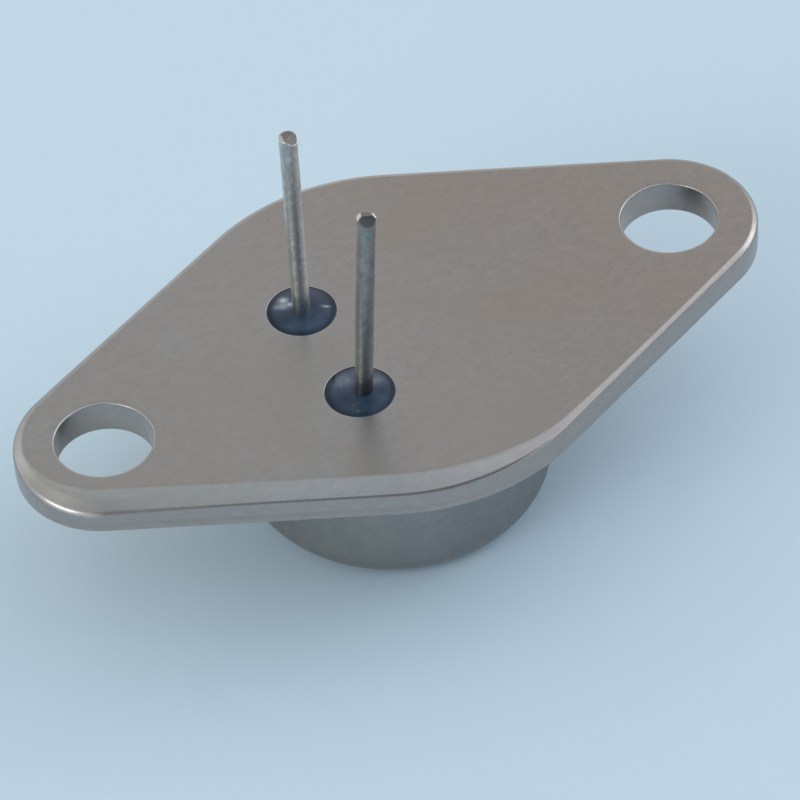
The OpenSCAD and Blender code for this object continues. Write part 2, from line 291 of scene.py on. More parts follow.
def flat_field(rims, spacing=0.9):
    """Triangles over the flat field inside the first rim and outside the others, which are
    round, with an even lattice of extra points. Returns the extra points and the triangles,
    numbered through the rims and then the lattice."""
    half_length, half_width, ways_round = 16, 9, 180
    across, along = np.meshgrid(np.arange(-half_length, half_length, spacing),
                                np.arange(-half_width, half_width, spacing))
    across[1::2] += spacing / 2
    lattice = np.stack([across.ravel(), along.ravel()], axis=-1)
    heading = np.linspace(0, 2 * math.pi, ways_round, endpoint=False)
    ways = np.stack([np.cos(heading), np.sin(heading)])
    hull = np.max(rims[0] @ ways, axis=0)
    keep = np.all(lattice @ ways < hull - spacing / 2, axis=1)
    for rim in rims[1:]:
        middle = rim.mean(axis=0)
        keep &= (np.hypot(*(lattice - middle).T)
                 > np.hypot(*(rim[0] - middle)) + spacing / 2)
    lattice = lattice[keep]
    points = np.concatenate([*rims, lattice])
    ends = np.cumsum([len(rim) for rim in rims])
    loops = [list(range(end - len(rim), end)) for rim, end in zip(rims, ends)]
    inside_loops, tolerance = 1, 1e-9
    triangles = np.array(delaunay_2d_cdt([Vector(p) for p in points.tolist()], [], loops,
                                         inside_loops, tolerance)[2])
    rim_of = np.searchsorted(ends, triangles, side="right")
    in_hole = (rim_of[:, 0] > 0) & (rim_of[:, 0] < len(rims)) & np.all(
        rim_of == rim_of[:, :1], axis=1)
    return lattice, triangles[~in_hole]


def header_piece(material):
    """The stamped oval: rim band, four bores, and the two flat fields between them."""
    bores = [(HOLE_X, 0.0, HOLE_R, HOLE_LIP), (-HOLE_X, 0.0, HOLE_R, HOLE_LIP),
             (PIN_X, PIN_Y, SEAL_R, SEAL_LIP), (PIN_X, -PIN_Y, SEAL_R, SEAL_LIP)]
    side, marks = side_band()
    bands = [side] + [bore(*b) for b in bores]
    firsts = np.cumsum([0] + [band.shape[0] * band.shape[1] for band in bands])
    faces = [ring_quads(*band.shape[:2], first)[:, ::turn]
             for band, first, turn in zip(bands, firsts, [-1] + [1] * len(bores))]
    points = [band.reshape(-1, 3) for band in bands]
    for band, (_, _, radius, _) in zip(bands[1:], bores):
        for mark, values in bore_marks(band, radius == HOLE_R).items():
            marks[mark].append(values.ravel())
    for row, turn, z in ((0, 1, SEAT_Z), (-1, -1, FACE_Z)):
        lattice, triangles = flat_field([band[row, :, :2] for band in bands])
        rim_numbers = [first + (row % band.shape[0]) * band.shape[1]
                       + np.arange(band.shape[1]) for band, first in zip(bands, firsts)]
        start = sum(len(part) for part in points)
        numbers = np.concatenate(rim_numbers + [start + np.arange(len(lattice))])
        faces.append(numbers[triangles][:, ::turn])
        points.append(np.column_stack([lattice, np.full(len(lattice), z)]))
        for values in marks.values():
            values.append(np.zeros(len(lattice)))
    finish_piece("header_plate", np.concatenate(points), faces, material,
                 "header",
                 {mark: np.concatenate(values) for mark, values in marks.items()})


# ---- cap ----

DISH = 0.03           # the flat end is dished, and stands on its outer ring
DISH_PROFILE = ((0.35, 1.0), (0.7, 0.6), (0.88, 0.12), (0.96, 0.0))     # shares out and up
DISH_MIDDLE = 1.1     # height of its middle, as a share of DISH
BRIM_EDGE_R = 0.06
BRIM_RING = 0.4       # distance in from the brim's edge to a ring of points
WALL_OUTSIDE_Z, WALL_INSIDE_Z = (2.6, 3.8, 4.9), (3.8, 2.0)     # rings on the plain wall
CORNER_RUB_Z, CORNER_RUB_REACH = 0.35, 0.3      # where the corner is rubbed


def cap_piece(material):
    """The drawn can: a closed profile from the middle of the flat end, up the outside,
    round the brim and back down the inside, turned about the can's own axis. Its corners
    are quarter circles, and the sheet is equally thick throughout."""
    flat_r = CAP_R - CAP_CORNER_R
    inner_corner_r = CAP_CORNER_R - CAP_SHEET
    bend = (CAP_R + BRIM_BEND_R, FACE_Z - CAP_SHEET - BRIM_BEND_R)
    inner_bend_r = BRIM_BEND_R + CAP_SHEET
    brim_x = BRIM_R - BRIM_EDGE_R
    dish = np.array(DISH_PROFILE) * [flat_r, DISH]
    outside = np.concatenate([
        dish,
        arc((flat_r, CAP_CORNER_R), (CAP_CORNER_R, CAP_CORNER_R), -90, 0, 24),
        [[CAP_R, z] for z in WALL_OUTSIDE_Z],
        arc(bend, (-BRIM_BEND_R, BRIM_BEND_R), 0, 90, 8),
        [[BRIM_R - BRIM_RING, FACE_Z - CAP_SHEET]],
        arc((brim_x, FACE_Z - CAP_SHEET + BRIM_EDGE_R), (BRIM_EDGE_R, BRIM_EDGE_R), -90, 0, 4),
        arc((brim_x, FACE_Z - BRIM_EDGE_R), (BRIM_EDGE_R, BRIM_EDGE_R), 0, 90, 4),
    ])
    inside = np.concatenate([
        [[BRIM_R - BRIM_RING, FACE_Z]],
        arc(bend, (-inner_bend_r, inner_bend_r), 90, 0, 8),
        [[CAP_R - CAP_SHEET, z] for z in WALL_INSIDE_Z],
        arc((flat_r, CAP_CORNER_R), (inner_corner_r, inner_corner_r), 0, -90, 12),
        dish[::-1] + [0.0, CAP_SHEET],
    ])
    profile = np.concatenate([outside, inside])
    rings = turned(profile, CAP_X)
    rows, columns = rings.shape[:2]
    middle_z = DISH_MIDDLE * DISH
    points = np.concatenate([rings.reshape(-1, 3),
                             [[CAP_X, 0.0, middle_z], [CAP_X, 0.0, middle_z + CAP_SHEET]]])
    faces = [ring_quads(rows, columns), *pole_fans(rows, columns)]
    corner = np.exp(-((profile[:, 1] - CORNER_RUB_Z) / CORNER_RUB_REACH) ** 2)
    corner[len(outside):] = 0
    edge = np.concatenate([np.repeat(corner, columns), [0.0, 0.0]])
    finish_piece("cap_can", points, faces, material, "cap", {"edge": edge})


# ---- pins ----

BLADE_HEADING = math.radians(-27)       # way in which the cutter's blades spread the tips
PINCH_LENGTH = 0.5    # length of the tip that they pinched
RIDGE = 0.012         # rounding of the ridges between the facets of a tip
# painted shade on each tip's flat top and chamfer
TOP_SHADE, CHAMFER_SHADE = -0.3, -0.1
TIP_RUB, TIP_RUB_LENGTH = 0.2, 0.3
FOOT_SHADE, FOOT_SHADE_LENGTH = -0.35, 1.3      # painted shade: the wire is darkened next to the glass, where it meets the bead

# Waves in the radius of the drawn wire. Each has a height, a pitch along the wire, a number
# of lobes round it, and its share of the wire's own phase. They and the wear that thins the
# wire grow over the first WAVE_START above the seating face.
WIRE_WAVES = ((0.0030, 5.3, 2, 1.0), (0.0022, 11.7, -3, 2.1), (0.0015, 23.0, 5, 0.7))
WIRE_WEAR = 0.004
WAVE_START = 0.6

# The facets of each nipped tip, as a heading in degrees, an offset from the axis where the
# facet meets the flat top, a slope in degrees, and a tone. The tones are painted light and
# shade: facets that catch the light are made lighter and those in shade darker.
UPRIGHT_CUTS = ((-60, 0.10, 50, -0.55), (175, 0.22, 46, 0.1))
LEANING_CUTS = ((160, 0.16, 42, 0.4), (-20, 0.20, 40, 0.45), (-105, 0.0, 45, -0.5))


def pin_frame(side):
    """Rotation and offset that take a pin's own frame, whose zero is level with the seating
    face, to its place: the cathode pin leans about a point inside the header."""
    if side > 0:
        return np.eye(3), np.array([PIN_X, side * PIN_Y, SEAT_Z])
    turn = Matrix.Rotation(LEAN_HEADING, 3, "Z")
    lean = np.array(turn @ Matrix.Rotation(LEAN, 3, "Y") @ turn.inverted())
    pivot = np.array([PIN_X, side * PIN_Y, SEAT_Z - LEAN_DEPTH])
    return lean, pivot + lean @ np.array([0.0, 0.0, LEAN_DEPTH])


def soft_least(heights, ridge):
    """The lowest of several height fields, with the ridges between them rounded:
    -ridge * log(sum of exp(-height / ridge))."""
    lowest = np.min(heights, axis=0)
    return lowest - ridge * np.log(np.sum(np.exp((lowest - heights) / ridge), axis=0))


def tip_height(x, y, cuts):
    """Height of a cut wire's tip over its cross-section: the lowest of a flat top, a
    chamfer cone and the sloping facets, each of which falls by tan(slope) beyond its
    offset. Returns the height, and the tone of whichever is lowest: painted light and shade
    that lightens the facets that catch the light and darkens the others."""
    r = np.hypot(x, y)
    fields, tones = [np.full_like(x, PIN_OUT), PIN_OUT + PIN_R - PIN_CHAMFER - r], [
        TOP_SHADE, CHAMFER_SHADE]
    for heading, offset, slope, tone in cuts:
        reach = x * math.cos(math.radians(heading)) + y * math.sin(math.radians(heading))
        fields.append(PIN_OUT - (reach - offset) * math.tan(math.radians(slope)))
        tones.append(tone)
    fields = np.stack(fields)
    return soft_least(fields, RIDGE), np.array(tones)[np.argmin(fields, axis=0)]


def pinched(rings, pinch):
    """The tip as the cutter left it: towards its end it gets wider along the blades' heading,
    as x * (1 + squeezed), and thinner across it, as y * (1 - squeezed), where squeezed
    grows to the share pinch as a square."""
    across = np.array([[math.cos(BLADE_HEADING), math.sin(BLADE_HEADING)],
                       [-math.sin(BLADE_HEADING), math.cos(BLADE_HEADING)]])
    squeezed = pinch * np.clip((rings[..., 2:] - PIN_OUT) / PINCH_LENGTH + 1, 0, 1) ** 2
    spread = np.concatenate([1 + squeezed, 1 - squeezed], axis=-1)
    return np.concatenate([(rings[..., :2] @ across.T * spread) @ across, rings[..., 2:]],
                          axis=-1)


def pin_piece(name, node, side, material, cuts, phase, pinch, tone_and_side_light):
    """A cut length of wire: a chamfered foot, rings whose radius is the wire's plus a sum
    of waves, size * sin(pitch * z + lobes * angle + turn * phase), and rings that shrink
    over the tip, whose height is a function of the place in the cross-section.
    tone_and_side_light gives the wire's tone, and painted light and shade round the wire:
    how much one side is made lighter and the other darker, and the heading in degrees of
    the lighter side. Next to the glass the wire is darkened with painted shade."""
    columns, wall_rings, tip_rings = 64, 120, 11
    angle = np.linspace(0, 2 * math.pi, columns, endpoint=False)
    bottom = FACE_Z - SEAT_Z - PIN_IN
    foot_r, foot_z = PIN_R - PIN_CHAMFER, bottom + PIN_CHAMFER
    foot = turned(np.array([[foot_r / 2, bottom], [foot_r, bottom], [PIN_R, foot_z]]),
                  columns=columns)
    top = tip_height(PIN_R * np.cos(angle), PIN_R * np.sin(angle), cuts)[0]
    z = foot_z + (top - foot_z) * np.linspace(0, 1, wall_rings + 1)[1:, None]
    waves = sum(size * np.sin(pitch * z + lobes * angle + turn * phase)
                for size, pitch, lobes, turn in WIRE_WAVES)
    r = PIN_R + (waves - WIRE_WEAR) * np.clip(z / WAVE_START, 0, 1)
    wall = np.stack([r * np.cos(angle), r * np.sin(angle), z], axis=-1)
    share = np.linspace(1, 0, tip_rings + 1, endpoint=False)[1:, None]
    x, y = share * wall[-1, :, 0], share * wall[-1, :, 1]
    tip_z, tip_tone = tip_height(x, y, cuts)
    rings = np.concatenate([foot, wall, np.stack([x, y, tip_z], axis=-1)])
    rings = pinched(rings, pinch)
    pole_z, pole_tone = tip_height(np.zeros(1), np.zeros(1), cuts)
    poles = np.array([[0.0, 0.0, bottom], [0.0, 0.0, pole_z[0]]])
    lean, offset = pin_frame(side)
    points = np.concatenate([rings.reshape(-1, 3), poles]) @ lean.T + offset
    faces = [ring_quads(len(rings), columns), *pole_fans(len(rings), columns)]
    height = np.concatenate([rings[..., 2].ravel(), poles[:, 2]])
    edge = TIP_RUB * np.clip((height - PIN_OUT) / TIP_RUB_LENGTH + 1, 0, 1)
    level, side_light, lit_heading = tone_and_side_light
    # painted light and shade: one side of the wire lighter, the other darker
    wire_tone = level + side_light * np.cos(angle - math.radians(lit_heading))
    from_glass = np.abs(rings[:-tip_rings, :, 2])
    # painted shade: the wire darkens towards the glass
    foot_shade = FOOT_SHADE * np.clip(1 - from_glass / FOOT_SHADE_LENGTH, 0, 1) ** 2
    tone = np.concatenate([(wire_tone + foot_shade).ravel(), tip_tone.ravel(), [0.0], pole_tone])
    finish_piece(name, points, faces, material, node,
                 {"edge": edge, "tone": tone})


# ---- glass seals ----

GLASS_CLIMB = 0.08    # the glass's height over the header's face at the pin
GLASS_EDGE = 0.05     # and its depth below the face at the bore's wall
GLASS_GRIP = 0.004    # it goes this far into the wire's skin

# Painted highlights on the beads, pale spots and haze where the glass would reflect the
# light: each has a strength, its place to the right of the bead's middle and beyond it,
# its half length and its half width.
UPRIGHT_GLINTS = ((0.9, -0.72, 0.54, 0.17, 0.13), (0.5, -0.72, 0.20, 0.36, 0.17),
                 (0.6, -0.44, 0.30, 0.11, 0.09), (0.8, 0.92, 0.14, 0.18, 0.05))
LEANING_GLINTS = ((0.24, -0.60, 0.50, 0.45, 0.35), (0.22, 0.62, 0.52, 0.35, 0.30))


def bead_rise(steps):
    """Half section of the glass surface from the bore's wall to the pin, as a share of the
    way in and a height over the header's face: a quarter of an ellipse,
    height = rise * sqrt(1 - (1 - share)^2) - edge, steep where the drop meets the wall."""
    share = 1 - np.cos(np.linspace(0, math.pi / 2, steps + 1))
    rise = GLASS_EDGE + GLASS_CLIMB
    return share, rise * np.sqrt(1 - (1 - share) ** 2) - GLASS_EDGE


def spot(x, y, right, beyond, length, width):
    """A soft oval spot on a bead: exp(-(along / length)^2 - (across / width)^2), with its
    middle and its long axis given in the way that the blades spread the pins' tips."""
    along = x * math.cos(BLADE_HEADING) + y * math.sin(BLADE_HEADING) - right
    across = y * math.cos(BLADE_HEADING) - x * math.sin(BLADE_HEADING) - beyond
    return np.exp(-(along / length) ** 2 - (across / width) ** 2)


def seal_piece(name, node, side, material, lift, glints):
    """A bead of glass: rings that slide from the bore's circle to the pin's circle,
    bore + (pin - bore) * share, along the rounded surface at both faces, down the pin and
    up the bore's wall. lift tilts the surface a little towards a heading. glints are its
    painted highlights: pale spots and haze where the glass would reflect the light."""
    columns, surface_steps, wall_rings = 96, 28, 5
    share, height = bead_rise(surface_steps)
    down = np.linspace(0, 1, wall_rings + 2)[1:-1]
    inward = np.concatenate([share, np.ones(wall_rings), share[::-1], np.zeros(wall_rings)])
    top, bottom = SEAT_Z + height, FACE_Z - height
    z = np.concatenate([top, top[-1] + (bottom[-1] - top[-1]) * down, bottom[::-1],
                        bottom[0] + (top[0] - bottom[0]) * down])
    angle = np.linspace(0, 2 * math.pi, columns, endpoint=False)
    middle_z = (SEAT_Z + FACE_Z) / 2
    free = np.where(z > middle_z, 4 * inward * (1 - inward), 0.0)[:, None]
    z = z[:, None] + free * (lift[0] * np.cos(angle) + lift[1] * np.sin(angle))
    lean, offset = pin_frame(side)
    axis = offset + (z[..., None] - SEAT_Z) * lean[:, 2] / lean[2, 2]
    inward = inward[:, None]
    r = SEAL_R + (PIN_R - GLASS_GRIP - SEAL_R) * inward
    x = PIN_X + (axis[..., 0] - PIN_X) * inward + r * np.cos(angle)
    y = side * PIN_Y + (axis[..., 1] - side * PIN_Y) * inward + r * np.sin(angle)
    rings = np.stack([x, y, z], axis=-1)
    # painted highlights on the glass
    painted_glint = sum(strength * spot(x - PIN_X, y - side * PIN_Y, *shape)
                 for strength, *shape in glints)
    faces = [ring_quads(*rings.shape[:2], close_rows=True)]
    finish_piece(name, rings, faces, material, node,
                 {"edge": np.broadcast_to(1 - inward, z.shape), "painted_glint": painted_glint}, sharp=50)


# ---- shared patterns ----

def put(tree, kind, settings=(), **sockets):
    """Adds a node. settings are its own properties. sockets are its inputs by name, with
    underscores for spaces, or by number as i0, i1 and so on. Each is a number, a colour or
    another node's output."""
    node = tree.nodes.new("ShaderNode" + kind)
    for key, value in dict(settings).items():
        setattr(node, key, value)
    for key, value in sockets.items():
        numbered = key[0] == "i" and key[1:].isdigit()
        socket = node.inputs[int(key[1:]) if numbered else key.replace("_", " ")]
        join(tree, value, socket)
    return node


def join(tree, value, socket):
    """Links another node's output to a socket, or sets the socket to a plain value."""
    if isinstance(value, bpy.types.NodeSocket):
        tree.links.new(value, socket)
    else:
        socket.default_value = value


def calc(tree, operation, a, b, clamp=False):
    """One arithmetic step on values."""
    return put(tree, "Math", {"operation": operation, "use_clamp": clamp}, i0=a, i1=b).outputs[0]


def blend(tree, share, low, high):
    """A value that goes from low to high with a share from 0 to 1."""
    return put(tree, "Mix", {"data_type": "FLOAT", "clamp_factor": True},
               i0=share, i2=low, i3=high).outputs[0]


def tint(tree, share, low, high):
    """A colour that goes from low to high with a share from 0 to 1."""
    return put(tree, "Mix", {"data_type": "RGBA", "clamp_factor": True},
               i0=share, i6=low, i7=high).outputs[2]


def vector(tree, operation, *inputs, **sockets):
    """One step on vectors or colours."""
    numbered = {f"i{number}": value for number, value in enumerate(inputs)}
    return put(tree, "VectorMath", {"operation": operation}, **numbered, **sockets).outputs[0]


def band_of(tree, value, start, stop):
    """0 below start and 1 above stop, with a smooth step between them."""
    return put(tree, "MapRange", {"interpolation_type": "SMOOTHSTEP"},
               Value=value, From_Min=start, From_Max=stop).outputs[0]


def new_group(name, inputs, outputs):
    """A node group with named value sockets and a vector input."""
    tree = bpy.data.node_groups.new(name, "ShaderNodeTree")
    tree.interface.new_socket("Vector", in_out="INPUT", socket_type="NodeSocketVector")
    for label, value in inputs.items():
        socket = tree.interface.new_socket(label, in_out="INPUT", socket_type="NodeSocketFloat")
        socket.default_value = value
    for label in outputs:
        tree.interface.new_socket(label, in_out="OUTPUT", socket_type="NodeSocketFloat")
    return tree, tree.nodes.new("NodeGroupInput").outputs, tree.nodes.new("NodeGroupOutput")


def make_grain():
    """Fine matte plating: two sizes of noise, drawn out along X by Stretch, as a shade
    round 0.5 and a height. Size is in metres."""
    coarseness = 0.27           # pitch of the coarse noise, as a share of the fine one's
    tree, given, result = new_group("plating_grain", {"Size": 0.0001, "Stretch": 1.0},
                                    ("Shade", "Height"))
    squeeze = put(tree, "CombineXYZ", X=calc(tree, "DIVIDE", 1.0, given["Stretch"]),
                  Y=1.0, Z=1.0).outputs[0]
    place = vector(tree, "MULTIPLY", given["Vector"], squeeze)
    pitch = calc(tree, "DIVIDE", 1.0, given["Size"])
    fine = put(tree, "TexNoise", Vector=place, Scale=pitch, Detail=3.0,
               Roughness=0.6).outputs[0]
    coarse = put(tree, "TexNoise", Vector=place, Scale=calc(tree, "MULTIPLY", pitch, coarseness),
                 Detail=2.0, Roughness=0.5).outputs[0]
    shade = blend(tree, 0.4, fine, coarse)
    tree.links.new(shade, result.inputs["Shade"])
    tree.links.new(calc(tree, "SUBTRACT", shade, 0.5), result.inputs["Height"])
    return tree


def make_clouds():
    """Wide, soft stains: warped low noise as a share from 0 to 1. Size is in metres."""
    tree, given, result = new_group("wide_stain", {"Size": 0.006, "Warp": 0.6}, ("Share",))
    pitch = calc(tree, "DIVIDE", 1.0, given["Size"])
    noise = put(tree, "TexNoise", Vector=given["Vector"], Scale=pitch, Detail=4.0,
                Roughness=0.55, Distortion=given["Warp"]).outputs[0]
    tree.links.new(band_of(tree, noise, 0.3, 0.7), result.inputs["Share"])
    return tree


def make_specks():
    """Sparse pits and dirt: round dots of uneven size on a loose lattice. Pitch is their
    spacing in metres, Reach the largest dot's share of it, Few how many are left out."""
    tree, given, result = new_group("sparse_specks",
                                    {"Pitch": 0.001, "Reach": 0.12, "Few": 0.6}, ("Mask",))
    pitch = calc(tree, "DIVIDE", 1.0, given["Pitch"])
    cells = put(tree, "TexVoronoi", Vector=given["Vector"], Scale=pitch)
    pick = put(tree, "SeparateColor", Color=cells.outputs["Color"]).outputs
    size = calc(tree, "MULTIPLY", given["Reach"], pick[0])
    outside = band_of(tree, cells.outputs["Distance"], calc(tree, "MULTIPLY", size, 0.5), size)
    dot = calc(tree, "SUBTRACT", 1.0, outside)
    kept = calc(tree, "GREATER_THAN", pick[1], given["Few"])
    tree.links.new(calc(tree, "MULTIPLY", dot, kept), result.inputs["Mask"])
    return tree


def make_rub():
    """Rubbed edges: the piece's edge value, broken up by fine noise, as a share."""
    tree, given, result = new_group("rubbed_edge", {"Edge": 0.0, "Size": 0.0003, "Break": 0.4},
                                    ("Share",))
    pitch = calc(tree, "DIVIDE", 1.0, given["Size"])
    noise = put(tree, "TexNoise", Vector=given["Vector"], Scale=pitch, Detail=2.0).outputs[0]
    gap = calc(tree, "MULTIPLY", calc(tree, "SUBTRACT", noise, 0.5), given["Break"])
    tree.links.new(calc(tree, "ADD", given["Edge"], gap, clamp=True), result.inputs["Share"])
    return tree


GRAIN, CLOUDS, SPECKS, RUB = make_grain(), make_clouds(), make_specks(), make_rub()


def pattern(tree, group, place, **values):
    """Places a shared pattern in a material, with its own values."""
    node = tree.nodes.new("ShaderNodeGroup")
    node.node_tree = group
    tree.links.new(place, node.inputs["Vector"])
    for key, value in values.items():
        join(tree, value, node.inputs[key])
    return node.outputs


# ---- materials ----

PIT_BROWN = (0.10, 0.085, 0.07, 1)
RUBBED_NICKEL = (0.42, 0.42, 0.415, 1)
SHEARED_TINT = (1.27, 1.06, 0.94)           # of bare sheared steel, beside the plate's colour
STAIN_DEPTH, PIT_DEPTH, RUB_DEPTH = 0.5, 0.55, 0.5      # share of each over what it covers
RUB_POLISH = 0.16     # a rubbed edge is this much glossier

BEAD_BLUE = ((0.013, 0.031, 0.060, 1), (0.023, 0.052, 0.098, 1))
BUBBLE_BLUE = (0.10, 0.14, 0.18, 1)
# pale colour of the painted highlights on the beads
GLINT_WHITE = (0.48, 0.56, 0.62, 1)
# painted shade at the rim of each bead, where the glass meets the bore
BEAD_RIM_SHADE = (0.016, 0.031, 0.054, 1)


def new_finish(name):
    """An empty material with its shader, and where its pattern is read from."""
    material = bpy.data.materials.new(name)
    material.use_nodes = True
    tree = material.node_tree
    tree.nodes.clear()
    shader = tree.nodes.new("ShaderNodeBsdfPrincipled")
    out = tree.nodes.new("ShaderNodeOutputMaterial")
    tree.links.new(shader.outputs[0], out.inputs["Surface"])
    place = tree.nodes.new("ShaderNodeTexCoord").outputs["Object"]
    return material, tree, shader, place


def fit(tree, shader, **sockets):
    """Sets or joins the shader's own sockets, with underscores for spaces."""
    for key, value in sockets.items():
        join(tree, value, shader.inputs[key.replace("_", " ")])


def relief(tree, height, distance):
    """A bump from a height of about one, as deep as distance in metres."""
    return put(tree, "Bump", Distance=distance, Height=height).outputs[0]


def mark_value(tree, mark):
    """A value that the piece's own points carry. It is 0 where the piece has none."""
    return put(tree, "Attribute", {"attribute_name": mark}).outputs["Fac"]


def painted_end_light(tree, place, clouds, left, right, start, stop):
    """Painted light: a tint that goes from the part's left end to its right between start and
    stop, in metres along X, for light that falls unevenly along the part. It wanders a
    little with the stains."""
    along = put(tree, "SeparateXYZ", Vector=place).outputs["X"]
    wander = calc(tree, "MULTIPLY", clouds, 0.25)
    along = calc(tree, "ADD", band_of(tree, along, start, stop), wander)
    return tint(tree, along, (*left, 1), (*right, 1))


def plated_metal(name, pale, dark, stain, rough, grain, stretch=1.0, ends=None):
    """Matte nickel plate: fine grain in colour, gloss and relief, wide stains, a few pits,
    sheared sides that are brighter and warmer, and edges rubbed smoother and paler. The
    piece's tone mark scales the colour with painted light and shade. ends are painted
    light: tints of the plate's two ends along X, and where one goes over to the other."""
    material, tree, shader, place = new_finish(name)
    grit = pattern(tree, GRAIN, place, Size=grain, Stretch=stretch)
    clouds = pattern(tree, CLOUDS, place, Size=0.0055)["Share"]
    pits = pattern(tree, SPECKS, place, Pitch=0.0013, Reach=0.05, Few=0.6)["Mask"]
    rub = pattern(tree, RUB, place, Edge=mark_value(tree, "edge"), Size=0.0004)["Share"]
    plate = tint(tree, band_of(tree, grit["Shade"], 0.32, 0.68), (*dark, 1), (*pale, 1))
    plate = tint(tree, calc(tree, "MULTIPLY", clouds, STAIN_DEPTH), plate, (*stain, 1))
    steel = vector(tree, "MULTIPLY", plate, SHEARED_TINT)
    if ends:
        # painted light along the part
        plate = vector(tree, "MULTIPLY", plate, painted_end_light(tree, place, clouds, *ends))
    base = tint(tree, mark_value(tree, "sheared"), plate, steel)
    base = tint(tree, calc(tree, "MULTIPLY", pits, PIT_DEPTH), base, PIT_BROWN)
    base = tint(tree, calc(tree, "MULTIPLY", rub, RUB_DEPTH), base, RUBBED_NICKEL)
    # the tone mark scales the colour: painted shade on the header's roll and the seals' bores,
    # and the pins' tone with painted light and shade
    base = vector(tree, "SCALE", base, Scale=calc(tree, "ADD", 1.0, mark_value(tree, "tone")))
    gloss = blend(tree, grit["Shade"], rough + 0.05, rough - 0.05)
    gloss = blend(tree, rub, gloss, rough - RUB_POLISH)
    uneven = calc(tree, "SUBTRACT", grit["Height"], calc(tree, "MULTIPLY", pits, 1.5))
    fit(tree, shader, Metallic=1.0, Base_Color=base, Roughness=gloss,
        Normal=relief(tree, uneven, 1.2e-6))
    return material


def bead_glass(name):
    """Dark blue sealing glass: painted highlights as pale spots near the surface, fine bubbles,
    and a painted dark ring of shade where the glass meets the metal."""
    material, tree, shader, place = new_finish(name)
    clouds = pattern(tree, CLOUDS, place, Size=0.0007, Warp=0.3)["Share"]
    bubbles = pattern(tree, SPECKS, place, Pitch=0.00028, Reach=0.22, Few=0.75)["Mask"]
    grit = pattern(tree, GRAIN, place, Size=0.00022)
    # painted highlights: pale spots where the glass would reflect the light
    glint = calc(tree, "MULTIPLY", mark_value(tree, "painted_glint"),
                band_of(tree, grit["Shade"], 0.25, 0.6))
    # painted shade: a dark ring where the glass meets the bore
    rim_shade = band_of(tree, mark_value(tree, "edge"), 0.66, 0.95)
    base = tint(tree, clouds, *BEAD_BLUE)
    base = tint(tree, calc(tree, "MULTIPLY", bubbles, 0.6), base, BUBBLE_BLUE)
    base = tint(tree, glint, base, GLINT_WHITE)
    base = tint(tree, rim_shade, base, BEAD_RIM_SHADE)
    gloss = blend(tree, clouds, 0.10, 0.22)
    wavy = calc(tree, "ADD", grit["Height"], calc(tree, "MULTIPLY", bubbles, -0.4))
    fit(tree, shader, Metallic=calc(tree, "MULTIPLY", rim_shade, 0.75), IOR=1.5, Base_Color=base,
        Roughness=gloss, Normal=relief(tree, wavy, 6e-6))
    return material


def soft_metal(name, pale, dark, rough, grain, depth=2e-6, metal=1.0):
    """A plain metal or coating inside the can: grain in colour, gloss and relief."""
    material, tree, shader, place = new_finish(name)
    grit = pattern(tree, GRAIN, place, Size=grain)
    clouds = pattern(tree, CLOUDS, place, Size=0.0012)["Share"]
    base = tint(tree, band_of(tree, grit["Shade"], 0.3, 0.7), (*dark, 1), (*pale, 1))
    base = tint(tree, calc(tree, "MULTIPLY", clouds, 0.3), base, (*dark, 1))
    gloss = blend(tree, grit["Shade"], rough + 0.08, rough - 0.08)
    fit(tree, shader, Metallic=metal, Base_Color=base, Roughness=gloss,
        Normal=relief(tree, grit["Height"], depth))
    return material


FINISHES = {
    # The ends' tints are painted light: the header's left end lighter and cooler and its right
    # end darker and warmer, and the cap's left end lighter.
    "header_nickel": plated_metal(
        "matte_header_plate", (0.383, 0.391, 0.402), (0.324, 0.331, 0.339),
        (0.361, 0.355, 0.346), rough=0.31, grain=0.00010, stretch=1.5,
        ends=((1.02, 1.04, 1.055), (0.955, 0.905, 0.86), -0.006, 0.011)),
    "cap_nickel": plated_metal(
        "drawn_can_plate", (0.327, 0.324, 0.315), (0.266, 0.264, 0.263),
        (0.294, 0.281, 0.263), rough=0.36, grain=0.00012,
        ends=((1.30, 1.24, 1.17), (1.0, 1.0, 1.0), -0.006, 0.002)),
    "pin_nickel": plated_metal(
        "dull_wire_plate", (0.400, 0.396, 0.385), (0.245, 0.250, 0.250),
        (0.310, 0.314, 0.316), rough=0.32, grain=0.00012),
    "seal_glass": bead_glass("dark_blue_bead"),
    "copper": soft_metal("bare_copper", (0.78, 0.42, 0.27), (0.60, 0.28, 0.17),
                         0.38, 0.00012),
    "braze": soft_metal("silver_braze", (0.74, 0.62, 0.40), (0.56, 0.44, 0.26),
                        0.42, 0.00015),
    "molybdenum": soft_metal("ground_molybdenum", (0.48, 0.48, 0.50), (0.34, 0.34, 0.36),
                             0.40, 0.00006),
    "solder": soft_metal("soft_solder", (0.62, 0.62, 0.63), (0.44, 0.44, 0.45),
                         0.34, 0.00020),
    "silicon": soft_metal("lapped_silicon", (0.20, 0.21, 0.24), (0.12, 0.13, 0.15),
                          0.20, 0.00008, metal=0.5),
    "coating": soft_metal("junction_varnish", (0.62, 0.57, 0.48), (0.50, 0.45, 0.37),
                          0.45, 0.00018, depth=4e-6, metal=0.0),
    "strap_nickel": soft_metal("nickel_strip", (0.60, 0.58, 0.54), (0.46, 0.44, 0.41),
                               0.36, 0.00010),
}

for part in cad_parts.values():
    for held in part.material_slots:
        held.material = FINISHES[held.material.name]


# ---- the pieces that show ----

